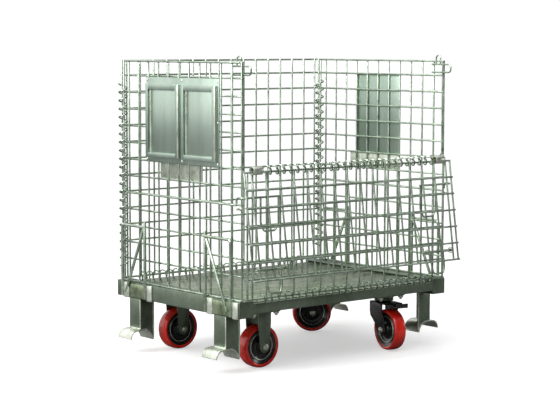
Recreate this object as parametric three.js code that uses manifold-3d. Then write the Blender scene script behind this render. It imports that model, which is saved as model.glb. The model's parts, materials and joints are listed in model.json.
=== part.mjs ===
// Wheeled mesh container with a folding gate: steel base, mesh walls joined by coil hinges, casters.
// Millimetres. +X is the object's right, +Y its back, +Z up; Z = 0 is the surface it stands on.
import * as THREE from 'three';
import { mergeVertices } from 'three/addons/utils/BufferGeometryUtils.js';
import Module from 'manifold-3d';

const wasm = await Module();
wasm.setup();

// ---- driving dimensions -------------------------------------------------
const baseWidth = 800; // X, outer faces of the side rails
const baseDepth = 600; // Y
const wallX = 390; // mesh planes of the two side walls
const frontEdgeY = -297; // front edge wire of a side wall
const sideHingeY = 273; // rear edge wire of a side wall, its hinge line
const backY = 283; // mesh plane of the back wall
const gateY = -309; // mesh plane of the front gate
const topZ = 876; // top wire
const topCell = 43; // first row below the top wire
const pitch = 50; // mesh pitch
const rowStep = 2 * pitch; // every second cross wire carries the wall here
const wire = 5.5; // wire width
const gap = 0.3; // between pieces that touch
const railTop = 214;
const railBottom = 167;
const railWidth = 50;
const crossRailTop = 206;
const crossRailBottom = 178;
const crossRailWidth = 38;
const memberWidth = 90; // cross member over the casters
const floorFrontY = -286;
const floorBackY = 272;
const floorThick = 2;
const sheet = 3; // rolled steel thickness
const hingeZ = 220; // coil hinge along the base
const gateTopZ = 575; // top wire of the gate
const wirePair = 8; // distance between the two wires inside a coil
const flapLength = 300;
const flapLean = THREE.MathUtils.degToRad(8.1); // the flap hangs this far out from plumb
const flapHalf = 397.5;
const gateHalf = 380;
const wheelRadius = 62.5;
const wheelWidth = 46;
const casterY = 196;
const fixedX = -250;
const swivelX = 243;
const trail = 35; // swivel axis to wheel axle
const footY = 209; // centre of each foot
const guardX = 405; // plane of the wall guards
const eyeZ = 854; // centre of the flap's latch eye

// ---- materials ----------------------------------------------------------
const finish = (color, roughness, metalness) =>
  () => new THREE.MeshStandardMaterial({ color, roughness, metalness });
const galvanised = finish(0x8f9b8c, 0.38, 0.9);
const wireZinc = finish(0xa9b4a6, 0.32, 0.95);
const paleZinc = finish(0xc3cdbf, 0.3, 0.9);
const blackSteel = finish(0x1b1c1c, 0.45, 0.6);
const redTread = finish(0xd11f1a, 0.3, 0.0);

// ---- helpers ------------------------------------------------------------
function bare(geometry) {
  const g = geometry.clone();
  for (const name of Object.keys(g.attributes)) if (name !== 'position') g.deleteAttribute(name);
  const merged = mergeVertices(g, 1e-4);
  const { array } = merged.index;
  const kept = [];
  for (let i = 0; i < array.length; i += 3) {
    const [a, b, c] = array.slice(i, i + 3);
    if (a !== b && b !== c && c !== a) kept.push(a, b, c); // a pole's triangles have two equal corners
  }
  merged.setIndex(kept);
  return merged;
}

function solid(geometry) {
  const g = bare(geometry);
  return new wasm.Manifold(new wasm.Mesh({
    numProp: 3,
    vertProperties: new Float32Array(g.attributes.position.array),
    triVerts: new Uint32Array(g.index.array),
  }));
}

function surface(manifold) {
  const mesh = manifold.asOriginal().simplify(1e-3).getMesh();
  const g = new THREE.BufferGeometry();
  g.setAttribute('position', new THREE.BufferAttribute(new Float32Array(mesh.vertProperties), 3));
  g.setIndex(new THREE.BufferAttribute(new Uint32Array(mesh.triVerts), 1));
  return g;
}

function joined(...geometries) {
  return surface(geometries.map(solid).reduce((a, b) => a.add(b)));
}

function cut(geometry, ...tools) {
  return surface(tools.map(solid).reduce((a, b) => a.subtract(b), solid(geometry)));
}

// a box between two corners
function block(x0, x1, y0, y1, z0, z1) {
  const g = new THREE.BoxGeometry(x1 - x0, y1 - y0, z1 - z0);
  return g.translate((x0 + x1) / 2, (y0 + y1) / 2, (z0 + z1) / 2);
}

// a straight round bar between two points
function bar(from, to, radius, sides = 8) {
  const a = new THREE.Vector3(...from);
  const b = new THREE.Vector3(...to);
  const g = new THREE.CylinderGeometry(radius, radius, a.distanceTo(b), sides);
  const turn = new THREE.Quaternion().setFromUnitVectors(
    new THREE.Vector3(0, 1, 0), b.clone().sub(a).normalize());
  return g.applyQuaternion(turn).translate((a.x + b.x) / 2, (a.y + b.y) / 2, (a.z + b.z) / 2);
}

// a curve that visits a list of points in straight steps
class Route extends THREE.Curve {
  constructor(points) {
    super();
    this.points = points;
  }

  getPoint(t, target = new THREE.Vector3()) {
    const place = Math.min(Math.max(t, 0), 1) * (this.points.length - 1);
    const i = Math.min(Math.floor(place), this.points.length - 2);
    return target.lerpVectors(this.points[i], this.points[i + 1], place - i);
  }

  getUtoTmapping(u) {
    return u;
  }
}

// a bent rod; each corner is rounded in two steps
function bentBar(corners, radius, bend = 6, sides = 6) {
  const at = corners.map((p) => new THREE.Vector3(...p));
  const points = [at[0]];
  for (let i = 1; i + 1 < at.length; i++) {
    const before = at[i - 1].clone().sub(at[i]);
    const after = at[i + 1].clone().sub(at[i]);
    const r = Math.min(bend, before.length() / 2.1, after.length() / 2.1);
    const a = at[i].clone().addScaledVector(before.normalize(), r);
    const b = at[i].clone().addScaledVector(after.normalize(), r);
    points.push(a, a.clone().add(b).multiplyScalar(0.3).addScaledVector(at[i], 0.4), b);
  }
  points.push(at.at(-1));
  const ring = Array.from({ length: sides }, (_, i) => 2 * Math.PI * i / sides);
  const section = new THREE.Shape(ring.map((a) =>
    new THREE.Vector2(radius * Math.cos(a), radius * Math.sin(a))));
  return new THREE.ExtrudeGeometry(section, {
    steps: points.length - 1, bevelEnabled: false, extrudePath: new Route(points),
  });
}

// a flat grid of wires: u and v are the wires' centre lines, the outer ones make the border
function grid(u, v) {
  const half = wire / 2;
  const upright = u.map((x) => block(x - half, x + half, v[0] - half, v.at(-1) + half, -half, half));
  const level = v.map((y) => block(u[0] - half, u.at(-1) + half, y - half, y + half, -half, half));
  return joined(...upright, ...level);
}

// centre lines from first to last, stepping by the given amount from start
function lines(first, start, step, last) {
  const out = [first];
  for (let p = start; Math.abs(p - last) > wire * 1.5 && (last - p) * Math.sign(step) > 0; p += step) {
    out.push(p);
  }
  out.push(last);
  return out.sort((a, b) => a - b);
}

class Helix extends THREE.Curve {
  constructor(radius, rise, turns, phase) {
    super();
    Object.assign(this, { radius, rise, turns, phase });
  }

  getPoint(t, target = new THREE.Vector3()) {
    const angle = this.phase + t * this.turns * 2 * Math.PI;
    return target.set(
      this.radius * Math.cos(angle), this.radius * Math.sin(angle), t * this.turns * this.rise);
  }
}

// a coil about local +Z, its wire a plain triangle
function coil(radius, turns, phase) {
  const section = new THREE.Shape();
  const r = 1.8;
  section.moveTo(r, 0);
  section.lineTo(-r / 2, r * Math.sqrt(0.75));
  section.lineTo(-r / 2, -r * Math.sqrt(0.75));
  const path = new Helix(radius, pitch, turns, phase);
  return new THREE.ExtrudeGeometry(section, {
    steps: turns * 8, bevelEnabled: false, extrudePath: path,
  });
}

const assembly = new THREE.Group();

function add(parent, name, geometry, material, x = 0, y = 0, z = 0) {
  const mesh = new THREE.Mesh(geometry, material());
  mesh.name = name;
  mesh.position.set(x, y, z);
  parent.add(mesh);
  return mesh;
}

const sides = [['left', -1], ['right', 1]];
const ends = [['front', -1], ['rear', 1]];
const halfWire = wire / 2;
const railInner = baseWidth / 2 - railWidth;

// ---- base ---------------------------------------------------------------
// side rail: a channel open to the inside, with closed ends
function sideRail(s) {
  const outer = s * baseWidth / 2;
  const lo = Math.min(outer, s * railInner);
  const hi = Math.max(outer, s * railInner);
  const hollow = block(
    s > 0 ? lo - 1 : lo + sheet, s > 0 ? hi - sheet : hi + 1,
    -baseDepth / 2 + sheet, baseDepth / 2 - sheet, railBottom + sheet, railTop - sheet);
  return cut(block(lo, hi, -baseDepth / 2, baseDepth / 2, railBottom, railTop), hollow);
}

// front or rear rail: a channel open downwards, with the hinge rod standing on tabs above it
const rodHalf = 376;
const rodTabs = { front: [-302.6, -2.6, 297.4], rear: [-314.6, -14.6, 285.4] };
function crossRail(end, e) {
  const outer = e * baseDepth / 2;
  const inner = outer - e * crossRailWidth;
  const lo = Math.min(outer, inner);
  const hi = Math.max(outer, inner);
  const length = railInner - gap;
  const channel = cut(
    block(-length, length, lo, hi, crossRailBottom, crossRailTop),
    block(-length - 1, length + 1, lo + sheet, hi - sheet, crossRailBottom - 1, crossRailTop - sheet));
  const rodY = e < 0 ? gateY + wirePair : backY + wirePair;
  const rod = bar([-rodHalf, rodY, hingeZ], [rodHalf, rodY, hingeZ], halfWire, 6);
  const tabs = rodTabs[end].map((x) =>
    block(x - 2.5, x + 2.5, rodY - 2.5, rodY + 2.5, crossRailTop - 1, hingeZ));
  return joined(channel, rod, ...tabs);
}

const base = new THREE.Group();
assembly.add(base);
for (const [side, s] of sides) add(base, `${side}_rail`, sideRail(s), galvanised);
for (const [end, e] of ends) add(base, `${end}_rail`, crossRail(end, e), galvanised);
for (const [end, e] of ends) {
  const y = e * casterY;
  const half = memberWidth / 2;
  const length = railInner - gap;
  const channel = cut(
    block(-length, length, y - half, y + half, railBottom, crossRailTop),
    block(-length - 1, length + 1, y - half + sheet, y + half - sheet,
      railBottom + sheet, crossRailTop + 1));
  add(base, `${end}_cross_member`, channel, galvanised);
}
const floorHalfX = railInner - gap;
const floorUnder = crossRailTop + gap;
add(base, 'floor_sheet', block(
  -floorHalfX, floorHalfX, floorFrontY, floorBackY, floorUnder, floorUnder + floorThick), galvanised);

// ---- feet and stacking saddles -----------------------------------------
const saddleLength = 68;
const saddlePlate = 4;

// the saddle's section across X: a flat-topped arch over the wall below, with a lip outside
function saddle() {
  const inner = [
    [-42, 47], [-38, 60], [-30, 67.5], [-18, 70], [0, 71], [12, 69.5], [22, 64],
    [30, 54], [36, 40],
  ];
  const curve = inner.map((p) => new THREE.Vector2(...p));
  const outer = inner.map(([x, z], i) => {
    const before = inner[Math.max(0, i - 1)];
    const after = inner[Math.min(inner.length - 1, i + 1)];
    const along = new THREE.Vector2(after[0] - before[0], after[1] - before[1]).normalize();
    return new THREE.Vector2(x - along.y * saddlePlate, z + along.x * saddlePlate);
  });
  const g = new THREE.ExtrudeGeometry(
    new THREE.Shape([...curve, ...outer.reverse()]), { depth: saddleLength, bevelEnabled: false });
  return g.rotateX(Math.PI / 2);
}

// foot: an angle section whose lower edge is notched to sit on the saddle
const footHalf = 27.5;
const footPlate = 5;
const footLow = 42;
function foot(s) {
  const top = railBottom - gap;
  const outerX = baseWidth / 2;
  const across = s > 0 ? [railInner, outerX] : [-outerX, -railInner];
  const side = s > 0 ? [outerX - footPlate, outerX] : [-outerX, footPlate - outerX];
  const front = block(...across, -footHalf, -footHalf + footPlate, footLow, top);
  const outer = block(...side, -footHalf, footHalf, footLow, top);
  const seat = new THREE.Shape([
    [-60, 0], [60, 0], [60, 36], [40.4, 41.9], [34.1, 56.4], [25.1, 67.6], [13.5, 74.1],
    [0.1, 75.8], [-18.6, 74.8], [-32.1, 71.8], [-60, 60],
  ].map((p) => new THREE.Vector2(-s * p[0], p[1])));
  const tool = new THREE.ExtrudeGeometry(seat, { depth: 80, bevelEnabled: false });
  tool.rotateX(Math.PI / 2).translate(s * wallX, 40, 0);
  return cut(joined(front, outer), tool);
}

for (const [end, e] of ends) {
  for (const [side, s] of sides) {
    add(base, `${end}_${side}_foot`, foot(s), galvanised, 0, e * footY, 0);
    const piece = saddle();
    if (s > 0) piece.rotateZ(Math.PI).translate(0, -saddleLength, 0);
    add(base, `${end}_${side}_saddle`, piece, paleZinc,
      s * wallX, e * footY - footHalf - 2 + saddleLength, 0);
  }
}

// ---- wall guards: a rod frame outside each end of a side wall ----------
const guardRod = 4.5;
const guardInner = 148;
const guardOuter = 265;
const guardTop = 386;
function guard(s, e) {
  const x = s * guardX;
  const postFoot = railBottom + 3;
  const rod = (y0, z0, y1, z1, share = 1) =>
    bar([x, e * y0, z0], [x, e * y1, z1], guardRod * share, 6);
  const posts = [
    rod(guardInner, postFoot, guardInner, guardTop + 15),
    rod(guardOuter, postFoot, guardOuter, guardTop + guardRod),
    rod(guardInner, guardTop, guardOuter, guardTop, 0.98),
    rod(guardInner + 6, guardTop - 6, guardOuter - 17, postFoot + 12, 0.96),
  ];
  const face = baseWidth / 2;
  const flat = s > 0 ? [face + gap, face + sheet] : [-face - sheet, -face - gap];
  const y = [e * (guardInner - 12), e * (guardOuter + 12)].sort((a, b) => a - b);
  return joined(...posts, block(flat[0], flat[1], y[0], y[1], postFoot, railTop - 4));
}
for (const [end, e] of ends) {
  for (const [side, s] of sides) add(base, `${end}_${side}_guard`, guard(s, e), wireZinc);
}

// ---- mesh walls ---------------------------------------------------------
const rows = lines(217.2, topZ - topCell, -rowStep, 217.2);
const wallRows = [...new Set([...rows, topZ])].sort((a, b) => a - b);
const columnsY = lines(frontEdgeY, frontEdgeY + 42.7, pitch, sideHingeY);
const columnsX = [-wallX, ...lines(-374, -374 + pitch, pitch, 372), wallX];

// u runs along +Y and v along +Z in the plane X = 0
const inSidePlane = (g) => g.rotateX(Math.PI / 2).rotateZ(Math.PI / 2);
// u runs along +X and v along +Z in the plane Y = 0
const inFrontPlane = (g) => g.rotateX(Math.PI / 2);

const backRows = [hingeZ, ...wallRows.filter((z) => z > hingeZ + pitch)];
add(base, 'back_mesh', inFrontPlane(grid(columnsX, backRows)), wireZinc, 0, backY, 0);

const walls = {};
for (const [side, s] of sides) {
  const wall = new THREE.Group();
  wall.position.set(s * wallX, sideHingeY, 0);
  assembly.add(wall);
  walls[side] = wall;
  add(wall, `${side}_side_mesh`, inSidePlane(grid(columnsY, wallRows)), wireZinc, 0, -sideHingeY, 0);
}

// latch eye at the top front corner of a side wall, with the stacking loop above it
const loopRod = 2.4;
function cornerLoops() {
  const r = loopRod;
  const half = 12;
  const tip = frontEdgeY - 34;
  const eye = bentBar([
    [0, frontEdgeY + 46, half], [0, tip, half], [0, tip, -half], [0, frontEdgeY + 46, -half],
  ], r, 10);
  const loopY = frontEdgeY + 19;
  const loop = bentBar([
    [0, loopY - 9, half], [0, loopY - 9, 39], [0, loopY + 9, 39], [0, loopY + 9, half],
  ], r, 7);
  return joined(eye, loop);
}
for (const [side, s] of sides) {
  add(walls[side], `${side}_latch_eye`, cornerLoops(), wireZinc,
    -s * (halfWire + gap + loopRod), -sideHingeY, eyeZ);
}

// lug on the outside of the front edge wire, which the gate's latch drops over
const lugZ = 474;
for (const [side, s] of sides) {
  const from = s * (halfWire + gap);
  const lug = joined(
    bar([from, 0, 0], [from + s * 16, 0, 0], 3, 8),
    bar([from, 0, 0], [from + s * 3, 0, 0], 6, 8));
  add(walls[side], `${side}_gate_lug`, lug, wireZinc, 0, frontEdgeY - sideHingeY, lugZ);
}

// ---- label holders on the side walls -----------------------------------
const faceOut = halfWire + gap;
// outside the left wall: a back sheet with two framed pockets
function labelHolder() {
  const width = 350;
  const height = 247;
  const plate = block(0, 1.5, -width / 2, width / 2, -height / 2, height / 2);
  const rims = [];
  for (const y of [-width / 4, width / 4]) {
    rims.push(cut(
      block(1, 10, y - 82, y + 82, -108, 108),
      block(0, 8, y - 79, y + 79, -105, 109),
      block(7, 11, y - 62, y + 62, -88, 90)));
  }
  return joined(plate, ...rims);
}
const holder = labelHolder().rotateZ(Math.PI);
add(walls.left, 'left_label_holder', holder, galvanised, -faceOut, -25 - sideHingeY, 707);
add(walls.left, 'left_inner_plate', block(0, 1.2, -102, 102, -145, 145), paleZinc,
  faceOut, -5 - sideHingeY, 681);
const rightPlate = joined(
  block(0, 1.5, -103, 103, -50, 203), block(0, 1.5, -103, 128, -98, -48));
add(walls.right, 'right_label_plate', rightPlate, galvanised, faceOut, -sideHingeY, 630);

// ---- gate ---------------------------------------------------------------
const gate = new THREE.Group();
gate.position.set(0, gateY, hingeZ);
assembly.add(gate);
const gateColumns = lines(-gateHalf, -362, pitch, gateHalf);
const gateRows = lines(hingeZ, gateTopZ - rowStep, -rowStep, hingeZ).slice(1);
const gateLines = [...gateRows, gateTopZ];

// a guide block standing off the mesh, with a square hole that runs along the given axis
function guideX(x, y, z, reach) {
  const body = block(x - 4, x + 4, y - reach, y, z - 7, z + 7);
  return cut(body, block(x - 5, x + 5, y - reach + 1.9, y - reach + 11.1, z - 4.6, z + 4.6));
}
function guideZ(x, y, z, reach) {
  const body = block(x - 7, x + 7, y - reach, y, z - 4, z + 4);
  return cut(body, block(x - 4.6, x + 4.6, y - reach + 1.9, y - reach + 11.1, z - 5, z + 5));
}
const gateMesh = inFrontPlane(grid(gateColumns, gateLines));
const handleX = [340, 276];
const gateGuides = sides.flatMap(([, s]) => handleX.map((x) => guideZ(s * x, -1, gateRows.at(-1), 14)));
add(gate, 'gate_mesh', joined(gateMesh, ...gateGuides), wireZinc, 0, 0, -hingeZ);

// drop latch: a rod loop to lift, with an arm round the side wall's front edge
function dropLatch(s) {
  const y = -8.5;
  const arm = frontEdgeY - gateY + 7;
  const reach = bentBar([
    [s * 330, y, 505], [s * 403, y, 505], [s * 403, arm, 505], [s * 403, arm, 489],
  ], 3, 8);
  const handle = bentBar([
    [s * 340, y, 505], [s * 340, y, 410], [s * 276, y, 410], [s * 276, y, 505], [s * 342, y, 505],
  ], 3.05, 8);
  return joined(reach, handle);
}
for (const [side, s] of sides) {
  add(gate, `gate_${side}_latch`, dropLatch(s), wireZinc, 0, 0, -hingeZ);
}

// ---- flap ---------------------------------------------------------------
// The flap turns about a line between its two resting places on the gate's top wire.
const flap = new THREE.Group();
flap.position.set(0, -wirePair, gateTopZ - hingeZ);
flap.rotation.x = Math.PI + -flapLean;
gate.add(flap);
const flapColumns = [-flapHalf, ...lines(-372, -372 + pitch, pitch, 378), flapHalf];
const flapRows = [0, rowStep, 2 * rowStep, flapLength];
const flapMesh = inFrontPlane(grid(flapColumns, flapRows));
const boltV = 270.5;
const boltGuides = [-372, -272, 278, 374].map((x) => guideX(x, -1, boltV, 14));
add(flap, 'flap_mesh', joined(flapMesh, ...boltGuides), wireZinc);

// slide bolt along the flap's free edge, with a rod handle
function slideBolt(s) {
  const y = -8.5;
  return joined(
    bar([s * 262, y, boltV], [s * 381, y, boltV], 4, 8),
    bentBar([
      [s * 292, y, boltV], [s * 292, y, boltV + 66], [s * 344, y, boltV + 66], [s * 344, y, boltV],
    ], 3, 10));
}
for (const [side, s] of sides) add(flap, `flap_${side}_bolt`, slideBolt(s), wireZinc);

// ---- coil hinges --------------------------------------------------------
const diagonal = Math.PI / 4;
for (const [side, s] of sides) {
  const bottom = topZ - topCell - 11.5 * pitch;
  const phase = (s < 0 ? 3 : 1) * diagonal + Math.PI;
  add(base, `rear_${side}_coil`, coil(12.2, 11, phase), wireZinc,
    s * wallX, (sideHingeY + backY) / 2, bottom);
}
// lying coil: local Z goes to +X, local X to +Y, local Y to +Z
const alongX = (g) => g.applyMatrix4(new THREE.Matrix4().makeBasis(
  new THREE.Vector3(0, 1, 0), new THREE.Vector3(0, 0, 1), new THREE.Vector3(1, 0, 0)));
add(base, 'gate_base_coil', alongX(coil(10.6, 13.5, 3 * diagonal)), wireZinc,
  -337, gateY + wirePair / 2, hingeZ);
add(base, 'back_base_coil', alongX(coil(10.6, 13, -diagonal)), wireZinc,
  -324, backY + wirePair / 2, hingeZ);
add(gate, 'flap_coil', alongX(coil(12.2, 13, 0)), wireZinc,
  -322, -wirePair / 2, gateTopZ - hingeZ + wirePair / 2);

// ---- casters ------------------------------------------------------------
const plateThick = 4;
const tyreProfile = [
  [44.6, -19], [57, -wheelWidth / 2], [wheelRadius, -12], [wheelRadius, 12],
  [57, wheelWidth / 2], [44.6, 19], [44.6, -19],
];
const rimProfile = [
  [6.4, -21], [18, -21], [18, -7], [36, -7], [43.6, -18], [43.6, 18],
  [36, 7], [18, 7], [18, 21], [6.4, 21], [6.4, -21],
];
const vectors = (points) => points.map((p) => new THREE.Vector2(...p));
const tyre = () => new THREE.LatheGeometry(vectors(tyreProfile), 20);
const rim = () => new THREE.LatheGeometry(vectors(rimProfile), 12);

function axle() {
  return joined(
    new THREE.CylinderGeometry(5.9, 5.9, 66, 8),
    new THREE.CylinderGeometry(10, 10, 6, 6).translate(0, 34, 0),
    new THREE.CylinderGeometry(10, 10, 6, 6).translate(0, -34, 0));
}

// two cheeks and a crown; the axle runs along Y and lies at the given X offset
function fork(offset, crownTop) {
  const half = offset > 0 ? 34 : 24;
  const hub = offset > 0 ? 15 : 19;
  const outline = new THREE.Shape(vectors([
    [-half, crownTop], [offset > 0 ? -30 : -23, 90], [offset - hub, wheelRadius - 6],
    [offset - 8, wheelRadius - 14], [offset + 8, wheelRadius - 14], [offset + hub, wheelRadius - 6],
    [offset > 0 ? 34 : 23, 96], [half, crownTop],
  ]));
  const round = Array.from({ length: 10 }, (_, i) => i * Math.PI / 5);
  outline.holes.push(new THREE.Path(vectors(
    round.map((a) => [offset + 6.4 * Math.cos(a), wheelRadius + 6.4 * Math.sin(a)]))));
  const cheek = (y) => new THREE.ExtrudeGeometry(
    outline, { depth: 3.5, bevelEnabled: false }).rotateX(Math.PI / 2)
    .translate(0, y, 0);
  const shelf = offset > 0 ? 58 : 0; // a swivel fork's crown runs on to the brake pedal
  return joined(
    cheek(30), cheek(-26.5), block(-half, Math.max(shelf, half), -30, 30, crownTop - 4, crownTop));
}

function wheel(parent, prefix, offset) {
  const spin = new THREE.Group();
  spin.position.set(offset, 0, wheelRadius);
  parent.add(spin);
  add(spin, `${prefix}_rim`, rim(), blackSteel);
  add(spin, `${prefix}_tyre`, tyre(), redTread);
  add(spin, `${prefix}_axle`, axle(), galvanised);
}

for (const [end, e] of ends) {
  const fixed = new THREE.Group();
  fixed.position.set(fixedX, e * casterY, 0);
  assembly.add(fixed);
  const crown = railBottom - gap;
  const plate = block(-52, 52, -42, 42, crown - plateThick, crown);
  add(fixed, `${end}_fixed_fork`, joined(fork(0, crown - plateThick + 1), plate), galvanised);
  wheel(fixed, `${end}_fixed`, 0);
}

const swivelTurn = { front: -100, rear: -35 }; // heading of each swivel caster's trail, degrees
for (const [end, e] of ends) {
  const mount = new THREE.Group();
  mount.position.set(swivelX, e * casterY, 0);
  assembly.add(mount);
  const top = railBottom - gap;
  const raceLow = top - 22;
  const race = new THREE.LatheGeometry(vectors([
    [0, raceLow], [20, raceLow], [30, raceLow + 5], [30, top - 3], [0, top - 3],
  ]), 16).rotateX(Math.PI / 2);
  add(mount, `${end}_swivel_plate`,
    joined(block(-52, 52, -42, 42, top - plateThick, top), race), galvanised);
  const turning = new THREE.Group();
  turning.rotation.z = THREE.MathUtils.degToRad(swivelTurn[end]);
  mount.add(turning);
  add(turning, `${end}_swivel_fork`, fork(trail, raceLow - gap), blackSteel);
  wheel(turning, `${end}_swivel`, trail);
  const pedal = joined(
    block(-14, 30, -20, 20, -3, 1), block(26, 30, -20, 20, -3, 10), block(-14, -8, -20, 20, -8, 1));
  add(turning, `${end}_brake_pedal`, pedal, blackSteel, trail + 38, 0, 139);
}

// the origin lies under the middle of the object's box
const span = new THREE.Box3().setFromObject(assembly, true);
assembly.position.y = -(span.min.y + span.max.y) / 2;

export default assembly;
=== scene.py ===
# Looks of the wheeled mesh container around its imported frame. Metres, +X right, +Y back, +Z up.
import json
import math

import bmesh
import bpy
from mathutils import Matrix, Quaternion, Vector


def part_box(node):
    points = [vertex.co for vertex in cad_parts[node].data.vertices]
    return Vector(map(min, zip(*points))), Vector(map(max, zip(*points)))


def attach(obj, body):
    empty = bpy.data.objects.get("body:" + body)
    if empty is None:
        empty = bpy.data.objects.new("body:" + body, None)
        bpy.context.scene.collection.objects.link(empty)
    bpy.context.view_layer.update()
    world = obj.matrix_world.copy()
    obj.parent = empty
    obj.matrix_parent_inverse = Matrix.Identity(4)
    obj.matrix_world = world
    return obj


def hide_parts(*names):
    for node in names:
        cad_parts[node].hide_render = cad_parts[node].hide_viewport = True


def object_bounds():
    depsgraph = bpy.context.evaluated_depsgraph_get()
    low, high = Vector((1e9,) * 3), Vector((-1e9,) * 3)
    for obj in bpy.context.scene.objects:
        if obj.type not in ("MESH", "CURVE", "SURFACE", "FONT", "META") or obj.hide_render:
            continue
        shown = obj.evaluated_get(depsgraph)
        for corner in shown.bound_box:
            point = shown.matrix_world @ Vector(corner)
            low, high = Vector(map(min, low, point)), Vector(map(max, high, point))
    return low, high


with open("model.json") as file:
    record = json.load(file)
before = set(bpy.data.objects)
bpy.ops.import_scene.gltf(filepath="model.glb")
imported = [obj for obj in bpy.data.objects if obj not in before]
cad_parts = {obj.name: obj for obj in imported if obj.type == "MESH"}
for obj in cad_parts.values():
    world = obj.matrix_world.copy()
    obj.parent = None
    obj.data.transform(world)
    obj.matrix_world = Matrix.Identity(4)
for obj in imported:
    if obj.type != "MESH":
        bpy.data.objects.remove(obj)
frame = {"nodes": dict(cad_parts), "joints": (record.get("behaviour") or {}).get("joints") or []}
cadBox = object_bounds()
jointAt = {j["name"]: Vector(j["pos_m"]) for j in frame["joints"] if "pos_m" in j}
sides = (("left", -1), ("right", 1))
ends = (("front", -1), ("rear", 1))
print("frame loaded")


# camera: its place, the turns of its view in degrees, and its lens in millimetres
camera = {
    "place": (-3.2689, -3.9144, 0.9333),
    "yaw": 39.573,  # from +Y towards +X
    "down": 5.676,
    "roll": 0.109,
    "lens": 108.83,
    "sensor": 36,
}


def placeCamera():
    data = bpy.data.cameras.new("camera")
    data.lens = camera["lens"]
    data.sensor_width = camera["sensor"]
    view = bpy.data.objects.new("camera", data)
    yaw, down = math.radians(camera["yaw"]), math.radians(camera["down"])
    ahead = Vector((math.sin(yaw) * math.cos(down), math.cos(yaw) * math.cos(down), -math.sin(down)))
    view.location = camera["place"]
    view.rotation_mode = "QUATERNION"
    tilt = Quaternion((0, 0, 1), math.radians(camera["roll"]))
    view.rotation_quaternion = ahead.to_track_quat("-Z", "Y") @ tilt
    bpy.context.scene.collection.objects.link(view)
    bpy.context.scene.camera = view


studio = {
    "roomWhite": 1.2,
    "backdrop": 1.05,
    "floorGlow": 0.5,
    "floorSeen": 0.6,
    "floorMirrored": 0.16,  # the steel reflects a darker floor than the camera sees
    "brightSide": (-0.62, 0.5, 0.6),
    "darkest": 0.05,
    "dimFrom": -0.4,
    "brightFrom": 0.75,
    "floorHalf": 30,
    "floorRough": 0.8,
    "lamps": {  # place, size, watts
        "leftLamp": ((-3.0, 0.2, 2.6), 1.6, 110),
        "rightLamp": ((3.4, -2.3, 1.2), 0.9, 10),
        "topLamp": ((-1.2, -1.6, 3.4), 2.2, 60),
    },
}


def lightStudio():
    world = bpy.data.worlds.new("studio")
    bpy.context.scene.world = world
    world.use_nodes = True
    nodes, links = world.node_tree.nodes, world.node_tree.links
    room = nodes["Background"]
    where = nodes.new("ShaderNodeTexCoord")
    facing = nodes.new("ShaderNodeVectorMath")
    facing.operation = "DOT_PRODUCT"
    facing.inputs[1].default_value = studio["brightSide"]
    links.new(where.outputs["Generated"], facing.inputs[0])
    tone = nodes.new("ShaderNodeMapRange")
    tone.interpolation_type = "SMOOTHSTEP"
    tone.inputs["From Min"].default_value = studio["dimFrom"]
    tone.inputs["From Max"].default_value = studio["brightFrom"]
    tone.inputs["To Min"].default_value = studio["darkest"]
    tone.inputs["To Max"].default_value = 1
    links.new(facing.outputs["Value"], tone.inputs["Value"])
    links.new(tone.outputs[0], room.inputs["Color"])
    room.inputs["Strength"].default_value = studio["roomWhite"]
    backdrop = nodes.new("ShaderNodeBackground")
    backdrop.inputs["Color"].default_value = (1, 1, 1, 1)
    backdrop.inputs["Strength"].default_value = studio["backdrop"]
    seen = nodes.new("ShaderNodeLightPath")
    choice = nodes.new("ShaderNodeMixShader")
    links.new(seen.outputs["Is Camera Ray"], choice.inputs[0])
    links.new(room.outputs[0], choice.inputs[1])
    links.new(backdrop.outputs[0], choice.inputs[2])
    links.new(choice.outputs[0], nodes["World Output"].inputs["Surface"])
    middle = (cadBox[0] + cadBox[1]) / 2
    for name, (place, size, watts) in studio["lamps"].items():
        data = bpy.data.lights.new(name, "AREA")
        data.size = size
        data.energy = watts
        lamp = bpy.data.objects.new(name, data)
        lamp.location = place
        lamp.rotation_mode = "QUATERNION"
        lamp.rotation_quaternion = (middle - Vector(place)).to_track_quat("-Z", "Y")
        bpy.context.scene.collection.objects.link(lamp)


def layFloor():
    bm = bmesh.new()
    bmesh.ops.create_grid(bm, x_segments=1, y_segments=1, size=studio["floorHalf"])
    mesh = bpy.data.meshes.new("studioFloor")
    bm.to_mesh(mesh)
    bm.free()
    pale = bpy.data.materials.new("paleFloor")
    pale.use_nodes = True
    shader = pale.node_tree.nodes["Principled BSDF"]
    shader.inputs["Roughness"].default_value = studio["floorRough"]
    shader.inputs["Emission Color"].default_value = (1, 1, 1, 1)
    nodes, links = pale.node_tree.nodes, pale.node_tree.links
    seen = nodes.new("ShaderNodeLightPath")  # the floor glows only as the camera sees it
    glow = nodes.new("ShaderNodeMath")
    glow.operation = "MULTIPLY"
    glow.inputs[1].default_value = studio["floorGlow"]
    links.new(seen.outputs["Is Camera Ray"], glow.inputs[0])
    links.new(glow.outputs[0], shader.inputs["Emission Strength"])
    shade = nodes.new("ShaderNodeMapRange")
    shade.inputs["To Min"].default_value = studio["floorMirrored"]
    shade.inputs["To Max"].default_value = studio["floorSeen"]
    links.new(seen.outputs["Is Camera Ray"], shade.inputs["Value"])
    links.new(shade.outputs[0], shader.inputs["Base Color"])
    mesh.materials.append(pale)
    floor = bpy.data.objects.new("studioFloor", mesh)
    bpy.context.scene.collection.objects.link(floor)


bpy.context.scene.view_settings.view_transform = "Standard"
placeCamera()
lightStudio()
layFloor()
print("camera, light and floor set")


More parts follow.
